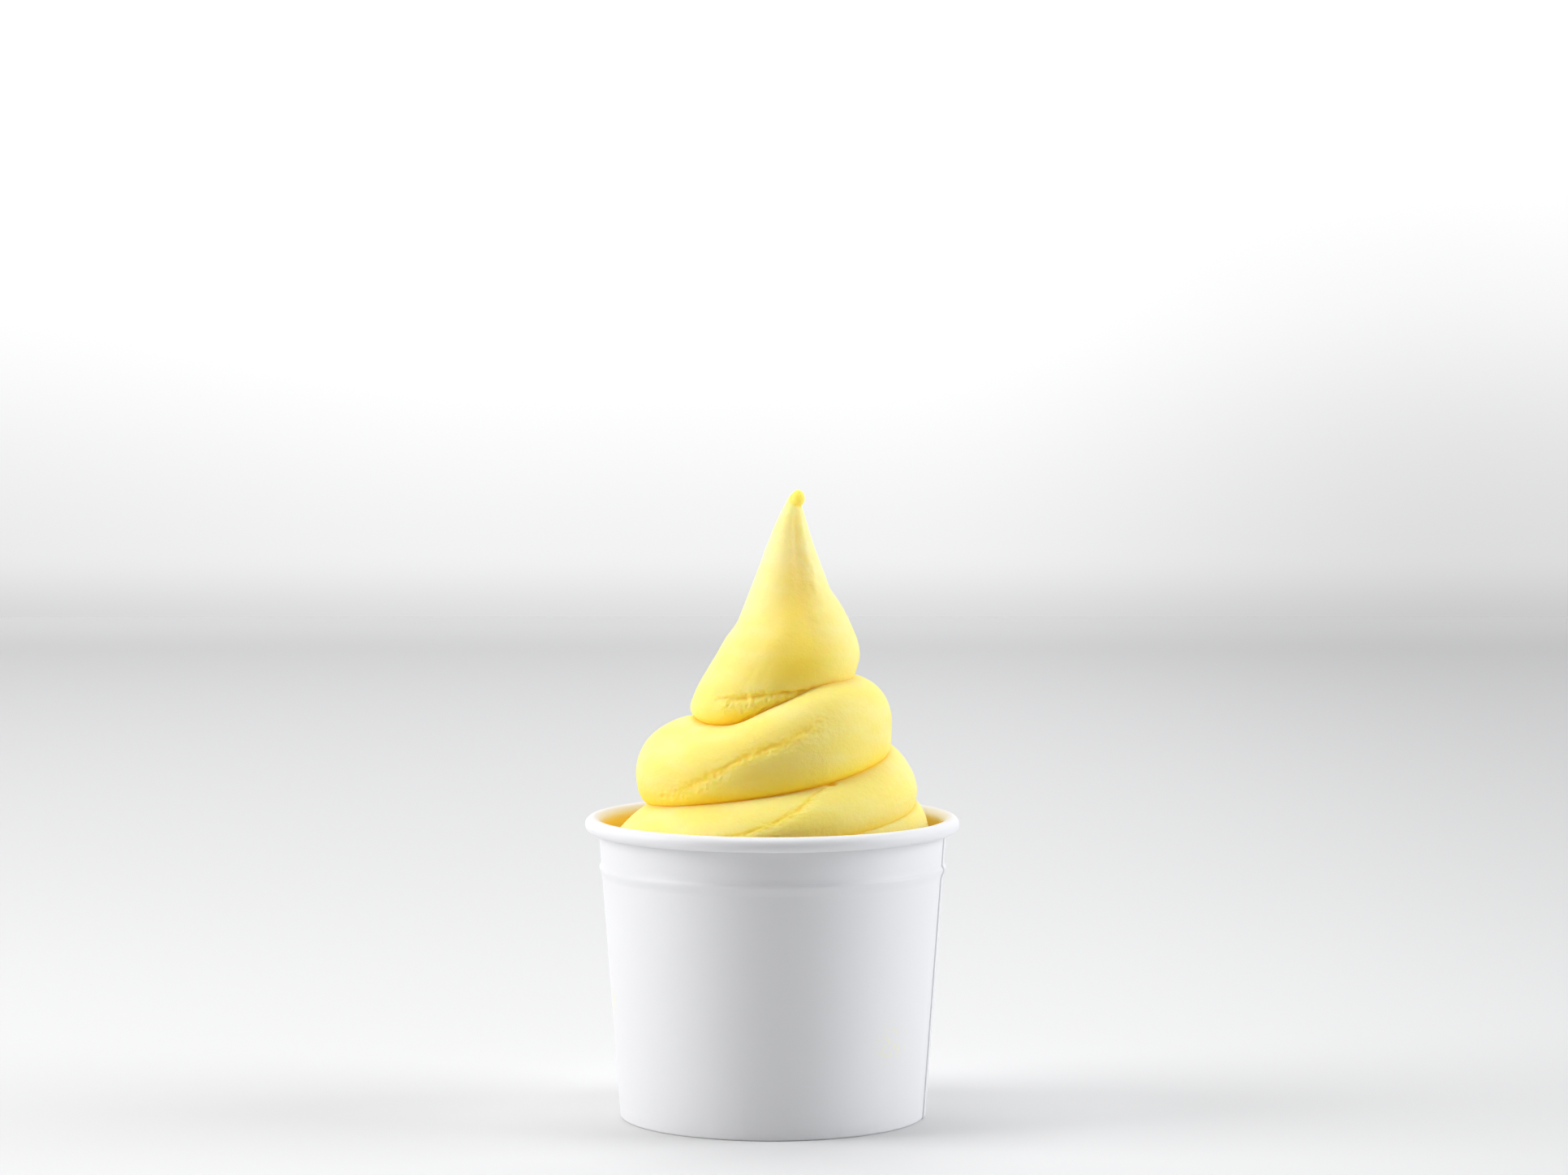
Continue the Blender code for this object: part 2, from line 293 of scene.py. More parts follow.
class StudioSettings(bpy.types.PropertyGroup):
    """The floor, the lights and the camera."""

    floor: FloatVectorProperty(
        name="Floor", description="Colour of the floor",
        subtype="COLOR", size=3, default=(0.68, 0.68, 0.68), min=0.0, max=1.0,
    )
    world: FloatProperty(
        name="Surroundings", description="Brightness of the room all round", default=0.12, min=0.0,
    )
    left: FloatProperty(
        name="Left softbox", description="Power of the left softbox", default=12.3, min=0.0, unit="POWER",
    )
    right: FloatProperty(
        name="Right softbox", description="Power of the right softbox", default=11.9, min=0.0, unit="POWER",
    )
    top: FloatProperty(
        name="Top softbox", description="Power of the softbox overhead", default=10.3, min=0.0, unit="POWER",
    )
    lens: FloatProperty(
        name="Lens", description="Focal length on a 36 mm wide sensor", default=117.4, min=1.0,
    )


class Sum:
    """A socket, or a number, that Python's operators turn into Math nodes."""

    def __init__(self, shader, socket):
        self.shader = shader
        self.socket = socket

    def through(self, operation, *others):
        return self.shader.math(operation, self, *others)

    def __add__(self, other):
        return self.through("ADD", other)

    def __radd__(self, other):
        return self.shader.math("ADD", other, self)

    def __sub__(self, other):
        return self.through("SUBTRACT", other)

    def __rsub__(self, other):
        return self.shader.math("SUBTRACT", other, self)

    def __mul__(self, other):
        return self.through("MULTIPLY", other)

    def __rmul__(self, other):
        return self.shader.math("MULTIPLY", other, self)

    def __truediv__(self, other):
        return self.through("DIVIDE", other)

    def __rtruediv__(self, other):
        return self.shader.math("DIVIDE", other, self)

    def __pow__(self, other):
        return self.through("POWER", other)


class Shader:
    """The nodes of one material, round a Principled BSDF."""

    def __init__(self, name):
        self.material = bpy.data.materials.new(name)
        self.material.use_nodes = True
        self.tree = self.material.node_tree
        self.surface = self.tree.nodes["Principled BSDF"]

    def node(self, kind, settings=None, sockets=None):
        """Adds a node: its settings first, then a value or a link for each named or numbered socket."""
        node = self.tree.nodes.new(kind)
        for key, value in (settings or {}).items():
            setattr(node, key, value)
        for key, value in (sockets or {}).items():
            self.feed(node.inputs[key], value)
        return node

    def feed(self, socket, value):
        if isinstance(value, Sum):
            value = value.socket
        if isinstance(value, bpy.types.NodeSocket):
            self.tree.links.new(value, socket)
        else:
            socket.default_value = value

    def math(self, operation, *values):
        node = self.node("ShaderNodeMath", {"operation": operation}, dict(enumerate(values)))
        return Sum(self, node.outputs[0])

    def value(self, socket):
        return Sum(self, socket)

    def place(self):
        """Where a point is on the piece, in metres."""
        return self.node("ShaderNodeTexCoord").outputs["Object"]

    def axes(self):
        """The three coordinates of a point, as values."""
        split = self.node("ShaderNodeSeparateXYZ", sockets={0: self.place()})
        return [self.value(socket) for socket in split.outputs]

    def noise(self, size, detail=2.0, roughness=0.5, stretch=(1.0, 1.0, 1.0)):
        """Cloudy variation round 0.5, with clouds of the given size in metres."""
        mapping = self.node("ShaderNodeMapping", sockets={"Vector": self.place(), "Scale": stretch})
        cloud = self.node(
            "ShaderNodeTexNoise", {"noise_dimensions": "3D"},
            {"Vector": mapping.outputs[0], "Scale": 1.0 / size, "Detail": detail, "Roughness": roughness},
        )
        return self.value(cloud.outputs["Fac"])

    def ramp(self, value, low, high):
        """0 below low and 1 above high, eased between."""
        node = self.node(
            "ShaderNodeMapRange", {"interpolation_type": "SMOOTHSTEP"},
            {"Value": value, "From Min": low, "From Max": high},
        )
        return self.value(node.outputs[0])

    def near(self, centre, radius):
        """1 at a point, fading to 0 at a radius round it."""
        away = self.node(
            "ShaderNodeVectorMath", {"operation": "DISTANCE"}, {0: self.place(), 1: centre}
        )
        return 1.0 - self.ramp(self.value(away.outputs["Value"]), 0.0, radius)

    def mix(self, factor, first, second):
        node = self.node("ShaderNodeMix", {"data_type": "RGBA"}, {"Factor": factor, 6: first, 7: second})
        return node.outputs[2]

    def bump(self, height, distance, strength=1.0):
        node = self.node(
            "ShaderNodeBump", sockets={"Height": height, "Distance": distance, "Strength": strength}
        )
        self.feed(self.surface.inputs["Normal"], node.outputs[0])

    def finish(self, **constants):
        for name, value in constants.items():
            self.surface.inputs[name.replace("_", " ")].default_value = value
        return self.material


def opaque(colour):
    return (*colour, 1.0)


def board_material(settings):
    """Coated white board: a faint fibre, a soft sheen, two faint smudges, and a film of yogurt inside."""
    shader = Shader("coated board")
    fibre = shader.noise(0.5 * MM, detail=4.0, roughness=0.6)
    cockle = shader.noise(9.0 * MM, detail=1.0)
    speckle = shader.noise(1.6 * MM, detail=2.0)
    right = shader.near(RIGHT_SMUDGE, RIGHT_SMUDGE_REACH)
    left = shader.near(LEFT_SMUDGE, LEFT_SMUDGE_REACH)
    smudge = (right + left * 1.4) * shader.ramp(speckle, 0.47, 0.64) * 0.55
    shade = shader.mix(cockle * 0.10, opaque(settings.colour), (0.80, 0.80, 0.82, 1.0))
    x, y, height = shader.axes()
    taper = (settings.neck_radius - settings.foot_radius) / NECK_HEIGHT
    inwards = height * taper + (settings.foot_radius - 0.45 * settings.paper) - (x * x + y * y) ** 0.5
    filmed = shader.ramp(inwards, 0.0, 0.3 * settings.paper) * shader.ramp(height, FILM_FROM, FILM_FULL)
    filmed = filmed * (1.0 - shader.ramp(height, FILM_FADES, FILM_GONE))
    shade = shader.mix(filmed, shade, opaque(settings.film))
    shader.feed(shader.surface.inputs["Base Color"], shader.mix(smudge, shade, opaque(settings.smudge)))
    shader.feed(shader.surface.inputs["Roughness"], 0.40 + fibre * 0.12)
    shader.bump(fibre * 0.25 + cockle, 0.06 * MM)
    return shader.finish(Specular_IOR_Level=0.42)


def yogurt_material(settings):
    """Matte, finely grained, a little translucent, with airier streaks along the rope, a painted highlight
    paling it towards the top, and painted shade and a painted glow in its creases.
    """
    shader = Shader("frozen yogurt")
    grain = shader.noise(0.55 * MM, detail=3.0, roughness=0.6)
    pits = shader.noise(1.3 * MM, detail=2.0, roughness=0.55)
    streaks = shader.noise(7.0 * MM, detail=2.0, stretch=(0.5, 0.5, 1.6))
    # The noise streaks are the yogurt's own tone; above 98 mm the swirl pales towards its top as a painted
    # highlight.
    streaks_and_painted_highlight = shader.ramp(streaks, 0.35, 0.75) * 0.35 + shader.ramp(shader.axes()[2], 0.098, 0.130) * 0.75
    tone = shader.mix(streaks_and_painted_highlight, opaque(settings.colour), opaque(settings.pale))
    crease = shader.value(shader.node("ShaderNodeAttribute", {"attribute_name": CREASE}).outputs["Fac"])
    # Painted shade: the crease attribute lays the deep colour in creases, undersides, folds and the cone's
    # valley.
    shader.feed(shader.surface.inputs["Base Color"], shader.mix(crease, tone, opaque(settings.deep)))
    # Painted glow: an emission in the creases, through the same attribute.
    painted_glow = shader.mix(crease, (0.0, 0.0, 0.0, 1.0), opaque(settings.painted_glow))
    shader.feed(shader.surface.inputs["Emission Color"], painted_glow)
    shader.feed(shader.surface.inputs["Roughness"], 0.55 + grain * 0.16)
    shader.bump(grain * 0.6 + pits, 0.22 * MM, 0.8)
    spread = settings.translucency
    return shader.finish(
        Subsurface_Weight=0.85, Subsurface_Radius=(spread, spread * 0.60, spread * 0.12),
        Subsurface_Scale=1.0, Specular_IOR_Level=0.24, Sheen_Weight=0.10, Sheen_Roughness=0.5,
        Emission_Strength=1.0,
    )


def floor_material(colour):
    """Pale and matt, with painted shade greying it towards its right, and painted light lightening it
    further back and at its far edge to meet the backdrop.
    """
    shader = Shader("floor")
    across, depth, _ = shader.axes()
    # Painted light: lighter further back, and lighter still at the far edge.
    far = shader.mix(shader.ramp(depth, 0.30, 1.10), opaque(colour), (0.80, 0.80, 0.805, 1.0))
    edge = shader.ramp(depth, FLOOR_FAR - 0.22, FLOOR_FAR)
    plain = shader.mix(edge, far, (0.95, 0.95, 0.955, 1.0))
    # Painted shade: greyer towards the right.
    dimmed = shader.mix(shader.ramp(across, 0.05, 0.32) * 0.16, plain, (0.0, 0.0, 0.0, 1.0))
    shader.feed(shader.surface.inputs["Base Color"], dimmed)
    return shader.finish(Roughness=0.6, Specular_IOR_Level=0.3)


def backdrop_material():
    """A glowing white wall, a little greyer near the floor and towards its sides."""
    shader = Shader("backdrop")
    across, _, height = shader.axes()
    side = shader.ramp(across, 0.05, 0.45) * 0.19 + shader.ramp(0.0 - across, 0.15, 0.60) * 0.08
    rise = shader.ramp(height, -0.055, -0.005) * 0.16 + shader.ramp(height, -0.03, 0.16) * 0.17
    sides = 1.0 - side * (1.0 - shader.ramp(height, 0.05, 0.30))
    level = (0.725 + rise) * sides
    glow = shader.node("ShaderNodeCombineColor", sockets={0: level, 1: level, 2: level * 1.003})
    shader.feed(shader.surface.inputs["Emission Color"], glow.outputs[0])
    return shader.finish(Base_Color=(0.0, 0.0, 0.0, 1.0), Emission_Strength=1.0, Specular_IOR_Level=0.0)


def add_piece(name, bm, material, node=None):
    """Makes the finished mesh an object; one that stands for a node rides and replaces it."""
    mesh = bpy.data.meshes.new(name)
    bm.to_mesh(mesh)
    bm.free()
    mesh.shade_smooth()
    mesh.materials.append(material)
    piece = bpy.data.objects.new(name, mesh)
    bpy.context.scene.collection.objects.link(piece)
    if node:
        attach(piece, BODY)
        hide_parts(node)
    return piece


def give_thickness(piece, thickness):
    paper = piece.modifiers.new("board", "SOLIDIFY")
    paper.thickness = thickness
    paper.offset = -1.0
    paper.use_even_offset = True


def grid_points(bm, columns, rows):
    """A flat grid, and for each of its points how far it is along either side, from 0 to 1."""
    bmesh.ops.create_grid(bm, x_segments=columns, y_segments=rows, size=1.0)
    flat = np.array([vert.co[:2] for vert in bm.verts])
    along = np.round((flat[:, 0] + 1.0) / 2.0 * columns) / columns
    up = np.round((flat[:, 1] + 1.0) / 2.0 * rows) / rows
    return along, up


def wall_radius(cup, height):
    """Outer radius of the tapered wall at a height."""
    return cup.foot_radius + (cup.neck_radius - cup.foot_radius) * height / NECK_HEIGHT


def rim_profile(cup):
    """The curl, from its inner end out round the top and down into the wall, as (radius, height)."""
    centre = Vector((cup.rim_radius - ROLL_RADIUS, cup.height - ROLL_RADIUS))
    points = []
    for step in range(ROLL_STEPS):
        done = step / (ROLL_STEPS - 1)
        angle = math.radians(180.0 - ROLL_TURN * (1.0 - done))
        size = (ROLL_RADIUS - cup.paper) * (ROLL_TIGHTENS + (1.0 - ROLL_TIGHTENS) * min(1.0, done * 1.6))
        points.append((centre[0] + size * math.cos(angle), centre[1] + size * math.sin(angle)))
    return points


def band_profile(cup):
    """The raised ring: up quickly from above, then a long easy run back to the wall."""
    points = []
    for step in range(BAND_STEPS + 1):
        place = 1.0 - 2.0 * step / BAND_STEPS
        if place > BAND_PEAK:
            rise = (1.0 - place) / (1.0 - BAND_PEAK)
        else:
            rise = (place + 1.0) / (BAND_PEAK + 1.0)
        height = BAND_HEIGHT + place * BAND_HALF
        proud = BAND_PROUD * rise * rise * (3.0 - 2.0 * rise)
        points.append((wall_radius(cup, height) + proud, height))
    return points


def foot_profile(cup):
    """The lower edge, rounded, turned in under the base's edge and up inside it."""
    fold = 3.0 * cup.paper + 2.0 * GAP
    outer = wall_radius(cup, 0.0)
    points = []
    for start, turned in ((outer - FOOT_ROUND, 0.0), (outer - fold + FOOT_ROUND, 1.0)):
        for step in range(FOOT_STEPS + 1):
            angle = math.pi / 2 * step / FOOT_STEPS
            across = math.cos(angle) if turned == 0.0 else -math.sin(angle)
            down = math.sin(angle) if turned == 0.0 else math.cos(angle)
            points.append((start + FOOT_ROUND * across, FOOT_ROUND * (1.0 - down)))
    points.append((wall_radius(cup, SKIRT_HEIGHT) - fold, SKIRT_HEIGHT))
    return points


def straight(first, last, steps):
    """Points between two ends, without the ends."""
    return [
        (first[0] + (last[0] - first[0]) * step / steps, first[1] + (last[1] - first[1]) * step / steps)
        for step in range(1, steps)
    ]


def sidewall_profile(cup):
    rim, band, foot = rim_profile(cup), band_profile(cup), foot_profile(cup)
    neck = (wall_radius(cup, NECK_HEIGHT), NECK_HEIGHT)
    profile = rim + [neck]
    profile += straight(neck, band[0], WALL_STEPS // 4) + band
    profile += straight(band[-1], foot[0], WALL_STEPS) + foot
    return np.array(profile)


def profile_normals(profile):
    """The outward normal of each point of the profile, in the same plane."""
    along = np.gradient(profile, axis=0)
    across = np.stack((-along[:, 1], along[:, 0]), axis=1)
    return across / np.linalg.norm(across, axis=1)[:, None]


def build_sidewall(cup):
    """A board blank wrapped once round with a lap, its top curled out and its bottom folded in."""
    profile = sidewall_profile(cup)
    normals = profile_normals(profile)
    bm = bmesh.new()
    around, down = grid_points(bm, AROUND_STEPS, len(profile) - 1)
    row = np.round(down * (len(profile) - 1)).astype(int)
    angle = SEAM_ANGLE + around * (360.0 + LAP_ANGLE)
    from_seam = angle - SEAM_ANGLE
    eased = np.clip((from_seam - LAP_ANGLE) / LAP_EASE, 0.0, 1.0)
    lifted = 1.0 - eased * eased * (3.0 - 2.0 * eased)
    place = profile[row] + normals[row] * (LAP_PRESSED * cup.paper * lifted)[:, None]
    press = np.maximum(0.0, np.cos(np.radians(angle * CRIMPS))) ** CRIMP_SHARPNESS
    low = np.clip(1.0 - place[:, 1] / CRIMP_HEIGHT, 0.0, 1.0) ** 0.5
    outside = row > len(rim_profile(cup))
    radius = place[:, 0] - CRIMP_DEPTH * press * low * outside
    turned = np.radians(angle)
    for vert, r, a, z in zip(bm.verts, radius, turned, place[:, 1]):
        vert.co = (r * math.cos(a), r * math.sin(a), max(z, 0.0))
    bm.normal_update()
    face = min(bm.faces, key=lambda f: abs(f.calc_center_median().z - 0.5 * cup.height))
    outward = face.calc_center_median() * Vector((1.0, 1.0, 0.0))
    if face.normal.dot(outward) < 0.0:
        bmesh.ops.reverse_faces(bm, faces=bm.faces[:])
    piece = add_piece("cup_sidewall_board", bm, board_material(cup), "cup_sidewall")
    give_thickness(piece, cup.paper)
    return piece


def build_base(cup):
    """The recessed disc under the yogurt, its edge turned down between the wall's two layers."""
    inset = cup.paper + GAP
    height = BASE_HIGH[2]
    edge = wall_radius(cup, height) - inset
    bend = 1.2 * MM
    low = cup.paper + GAP
    bm = bmesh.new()
    points = [(0.0, height), (edge * 0.5, height)]
    for step in range(7):
        angle = math.pi / 2 * (1.0 - step / 6)
        points.append((edge - bend + bend * math.cos(angle), height - bend + bend * math.sin(angle)))
    points.append((wall_radius(cup, low) - inset, low))
    verts = [bm.verts.new((radius, 0.0, z)) for radius, z in points]
    edges = [bm.edges.new(pair) for pair in zip(verts, verts[1:])]
    bmesh.ops.spin(
        bm, geom=verts + edges, axis=(0.0, 0.0, 1.0), cent=(0.0, 0.0, 0.0), angle=2.0 * math.pi,
        steps=96, use_merge=True,
    )
    bmesh.ops.remove_doubles(bm, verts=bm.verts[:], dist=WELD)
    bmesh.ops.dissolve_degenerate(bm, edges=bm.edges[:], dist=WELD)
    bm.normal_update()
    top = max(bm.faces, key=lambda f: f.calc_center_median().z)
    if top.normal.z < 0.0:
        bmesh.ops.reverse_faces(bm, faces=bm.faces[:])
    piece = add_piece("cup_base_board", bm, board_material(cup), "cup_base")
    give_thickness(piece, cup.paper)
    return piece


def along_rope(turns, column):
    """One column of ROPE at any number of turns, as a smooth curve through the stations."""
    table = np.array(ROPE)
    at, value = table[:, 0], table[:, column]
    step = np.diff(at)
    slope = np.diff(value) / step
    tangent = np.concatenate((slope[:1], slope[1:], slope[-1:]))
    tangent[1:-1] = (slope[:-1] * step[1:] + slope[1:] * step[:-1]) / (step[1:] + step[:-1])
    turns = np.clip(turns, at[0], at[-1])
    index = np.clip(np.searchsorted(at, turns, side="right") - 1, 0, len(at) - 2)
    t = (turns - at[index]) / step[index]
    return (
        (2 * t**3 - 3 * t**2 + 1) * value[index]
        + (t**3 - 2 * t**2 + t) * step[index] * tangent[index]
        + (3 * t**2 - 2 * t**3) * value[index + 1]
        + (t**3 - t**2) * step[index] * tangent[index + 1]
    )


def lean(height):
    """How far the swirl's axis stands off the cup's axis, along +X."""
    s = np.clip((height - LEAN_FROM) / (LEAN_TO - LEAN_FROM), 0.0, 1.0)
    t = np.clip((height - TIP_LEAN_FROM) / (TIP_LEAN_TO - TIP_LEAN_FROM), 0.0, 1.0)
    return LEAN * s * s * (3.0 - 2.0 * s) + TIP_LEAN * t * t


def rope_surface(turns, share):
    """Points on the piped rope: share 0 is the crease under it, 1 the crease above it."""
    low_radius, low_height = along_rope(turns, 1) * MM, along_rope(turns, 2) * MM
    top_radius, top_height = along_rope(turns + 1, 1) * MM, along_rope(turns + 1, 2) * MM
    mid_radius, mid_height = along_rope(turns, 3) * MM, along_rope(turns, 4) * MM
    power = 2.0 / along_rope(turns, 5)
    split = UNDERSIDE_SHARE + (CONE_UNDERSIDE_SHARE - UNDERSIDE_SHARE) * fade(turns, 0.0, 0.5)
    under = np.clip(share / split, 0.0, 1.0) * math.pi / 2
    over = np.clip((share - split) / (1.0 - split), 0.0, 1.0) * math.pi / 2
    below = share < split
    radius = np.where(
        below,
        low_radius + (mid_radius - low_radius) * np.sin(under),
        top_radius + (mid_radius - top_radius) * np.cos(over) ** power,
    )
    height = np.where(
        below,
        mid_height - (mid_height - low_height) * np.cos(under),
        mid_height + (top_height - mid_height) * np.sin(over) ** power,
    )
    angle = 2.0 * math.pi * turns
    return np.stack((radius * np.cos(angle) + lean(height), radius * np.sin(angle), height), axis=-1)


def keep_off_wall(points, cup):
    """Pulls the yogurt in to the wall's inner face wherever it would press through the board."""
    radius = np.hypot(points[:, 0], points[:, 1])
    room = wall_radius(cup, points[:, 2]) - cup.paper - GAP
    pull = np.where(points[:, 2] < WALL_CONTACT_TOP, np.minimum(1.0, room / np.maximum(radius, MM)), 1.0)
    points[:, 0] *= pull
    points[:, 1] *= pull
    return points


def surface_normals(turns, share):
    """Outward normals of the rope, from small steps along and across it."""
    step_along, step_across = 0.002, 0.01
    along = rope_surface(turns + step_along, share) - rope_surface(turns - step_along, share)
    upper, lower = np.minimum(share + step_across, 1.0), np.maximum(share - step_across, 0.0)
    across = rope_surface(turns, upper) - rope_surface(turns, lower)
    normal = np.cross(along, across)
    length = np.linalg.norm(normal, axis=1)[:, None]
    return normal / np.maximum(length, 1e-12)


def clouds(points, size, octaves=1):
    """Smooth noise from -1 to 1 with lumps of a given size."""
    return np.array([noise.fractal(Vector(point) / size, 1.0, 2.0, octaves) for point in points])


def fade(value, low, high):
    """0 below low, 1 above high, eased between."""
    t = np.clip((value - low) / (high - low), 0.0, 1.0)
    return t * t * (3.0 - 2.0 * t)


def route_share(fold, turns):
    """Where a fold lies on the section, at any number of turns."""
    route = np.array(sorted(fold["route"]))
    return np.interp(turns, route[:, 0], route[:, 1]), route[0, 0], route[-1, 0]


def fold_slope(fold, turns, points):
    """Turns the distance measured straight across the section into the distance square to the fold."""
    step = 0.004
    ahead, behind = route_share(fold, turns + step)[0], route_share(fold, turns - step)[0]
    rise = (ahead - behind) * SECTION
    run = 2.0 * step * 2.0 * math.pi * np.hypot(points[:, 0], points[:, 1])
    return run / np.hypot(rise, run)


def fold_relief(fold, turns, share, points):
    """A furrow along the rope, with a rolled and slightly torn edge under it."""
    centre, first, last = route_share(fold, turns)
    present = fade(turns, first - FOLD_FADE, first + 2.0 * FOLD_FADE)
    present *= 1.0 - fade(turns, last - 2.0 * FOLD_FADE, last + FOLD_FADE)
    near = np.flatnonzero((present > 0.0) & (np.abs(share - centre) < 0.45))
    relief = np.zeros(len(turns))
    spot = points[near]
    wander = clouds(spot, 5.0 * MM) * 0.45 * MM + clouds(spot, 1.6 * MM) * 0.12 * MM
    off = (share[near] - centre[near]) * SECTION * fold_slope(fold, turns[near], spot) + wander
    width, edge_width = fold["half_width"], fold["edge_width"]
    torn = clouds(spot + 0.5, 0.9 * MM, 2) + 0.6 * clouds(spot + 0.9, 1.9 * MM)
    uneven = np.clip(0.70 + 0.9 * clouds(spot + 0.2, 2.6 * MM), 0.15, 1.3)
    furrow = -fold["depth"] * uneven * np.exp(-np.abs(off / width) ** 1.6)
    edge = fold["edge"] * np.exp(-(((off + width + 0.9 * edge_width) / edge_width) ** 2))
    rough = fold["torn"] * torn * np.exp(-(((off + 0.3 * edge_width) / (0.9 * edge_width)) ** 2))
    relief[near] = (furrow + edge + rough) * present[near]
    return relief


def notch_relief(turns, points):
    """One small pit with torn sides, just under a crease."""
    spot = rope_surface(np.array([NOTCH_TURN]), np.array([NOTCH_SHARE]))[0]
    away = np.linalg.norm((points - spot) * (1.0, 1.0, 1.4), axis=1)
    near = (away < 4.0 * NOTCH_RADIUS) & (np.abs(turns - NOTCH_TURN) < 0.1)
    return -NOTCH_DEPTH * np.exp(-((away / NOTCH_RADIUS) ** 3)) * near


def valley_relief(points):
    """The soft upright valley down the cone and the lumpy ridge beside it."""
    x, y = points[:, 0] - lean(points[:, 2]), points[:, 1]
    around = np.arctan2(y, x) - math.radians(VALLEY_ANGLE)
    across = around * np.hypot(x, y)
    reach = fade(points[:, 2], VALLEY_FROM, VALLEY_FROM + 8.0 * MM)
    reach *= 1.0 - fade(points[:, 2], VALLEY_TO - 6.0 * MM, VALLEY_TO)
    on_cone = np.flatnonzero((reach > 0.0) & (np.abs(around) < 1.2))
    relief = np.zeros(len(points))
    width = VALLEY_HALF_WIDTH * np.clip(np.hypot(x, y) / (10.0 * MM), 0.35, 1.0)[on_cone]
    lumps = 1.0 + 1.1 * clouds(points[on_cone] + 0.7, 2.2 * MM, 2)
    side = across[on_cone]
    relief[on_cone] = -VALLEY_DEPTH * np.exp(-((side / width) ** 2))
    off_ridge = side - RIDGE_OFFSET * width / VALLEY_HALF_WIDTH
    relief[on_cone] += RIDGE_HEIGHT * lumps * np.exp(-((off_ridge / width) ** 2))
    return relief * reach


def raise_relief(turns, share, points, settings):
    """Moves each point of the plain rope by its unevenness; both sides of a crease move as one."""
    normals = surface_normals(turns, share)
    outward = points * (1.0, 1.0, 0.0) - np.stack((lean(points[:, 2]), *np.zeros((2, len(points)))), axis=1)
    outward /= np.maximum(np.linalg.norm(outward, axis=1), 1e-9)[:, None]
    inside = (fade(share, 0.0, 0.10) * (1.0 - fade(share, 0.90, 1.0)))[:, None]
    direction = outward + (normals - outward) * inside
    soft = settings.undulation * (clouds(points, 9.0 * MM) + 0.40 * clouds(points + 0.3, 3.2 * MM))
    sharp = notch_relief(turns, points)
    for fold in FOLDS:
        sharp += fold_relief(fold, turns, share, points)
    sharp *= fade(share, 0.0, 0.05) * (1.0 - fade(share, 0.965, 1.0))
    return points + direction * soft[:, None] + normals * sharp[:, None]


def close_apex(bm):
    """Takes away the crowded last turns at the very tip and closes the hole with one fan."""
    apex = Vector(rope_surface(np.array([ROPE[-1][0]]), np.array([1.0]))[0])
    crowd = [vert for vert in bm.verts if (vert.co - apex).length < APEX_RADIUS]
    bmesh.ops.delete(bm, geom=crowd, context="VERTS")
    rim = [
        edge for edge in bm.edges
        if edge.is_boundary and (edge.verts[0].co - apex).length < 3.0 * APEX_RADIUS
    ]
    caps = bmesh.ops.holes_fill(bm, edges=rim, sides=0)["faces"]
    bmesh.ops.poke(bm, faces=caps)


def smooth(bm, verts, passes):
    """Draws each point halfway to the middle of its neighbours, a number of times."""
    for _ in range(passes):
        bmesh.ops.smooth_vert(
            bm, verts=verts, factor=0.5, use_axis_x=True, use_axis_y=True, use_axis_z=True
        )


def swell_bead(bm):
    """Swells the tip, from a point inside it, out to the drop wherever the drop reaches further."""
    tip = [vert for vert in bm.verts if vert.co.z > BEAD_CENTRE[2] - 2.0 * BEAD_RADII[2]]
    from_heart = np.array([vert.co for vert in tip]) - BEAD_HEART
    reach = np.maximum(np.linalg.norm(from_heart, axis=1), WELD)
    ray = from_heart / reach[:, None] / BEAD_RADII
    start = (BEAD_HEART - BEAD_CENTRE) / BEAD_RADII
    a, b, c = (ray * ray).sum(axis=1), ray @ start, start @ start - 1.0
    out = (np.sqrt(b * b - a * c) - b) / a
    for vert, offset, near, far in zip(tip, from_heart, reach, out):
        if far > near:
            vert.co = Vector(BEAD_HEART + offset * far / near)
    smooth(bm, tip, BEAD_SMOOTHING)


def close_below(bm, cup):
    """Cuts the rope off level inside the cup and carries the cut down to the base as one fill."""
    parts = bm.verts[:] + bm.edges[:] + bm.faces[:]
    bmesh.ops.bisect_plane(
        bm, geom=parts, plane_co=(0.0, 0.0, FILL_TOP), plane_no=(0.0, 0.0, 1.0), dist=WELD, clear_inner=True
    )
    rim = [edge for edge in bm.edges if edge.is_boundary and edge.verts[0].co.z < FILL_TOP + WELD]
    extruded = bmesh.ops.extrude_edge_only(bm, edges=rim)["geom"]
    floor_radius = wall_radius(cup, YOGURT_LOW[2]) - cup.paper - GAP
    ring = [item for item in extruded if isinstance(item, bmesh.types.BMVert)]
    for vert in ring:
        vert.co = Vector((vert.co.x, vert.co.y, 0.0)).normalized() * floor_radius
        vert.co.z = YOGURT_LOW[2]
    bmesh.ops.remove_doubles(bm, verts=ring, dist=WELD)
    bmesh.ops.holes_fill(bm, edges=[edge for edge in bm.edges if edge.is_boundary], sides=0)
    if bm.calc_volume(signed=True) < 0.0:
        bmesh.ops.reverse_faces(bm, faces=bm.faces[:])


def soften_cone(bm):
    """Melts the rope's creases into each other where the cone is drawn out smooth."""
    everywhere, front = 99.0, -1.0
    for low, high, behind, passes in (
        (106.0, 140.0, everywhere, 12), (108.0, 139.5, everywhere, 30), (109.5, 139.0, everywhere, 90),
        (106.0, 128.0, front, 120), (109.0, 126.0, front - 2.0, 120),
    ):
        chosen = [vert for vert in bm.verts if low * MM < vert.co.z < high * MM and vert.co.y < behind * MM]
        smooth(bm, chosen, passes)


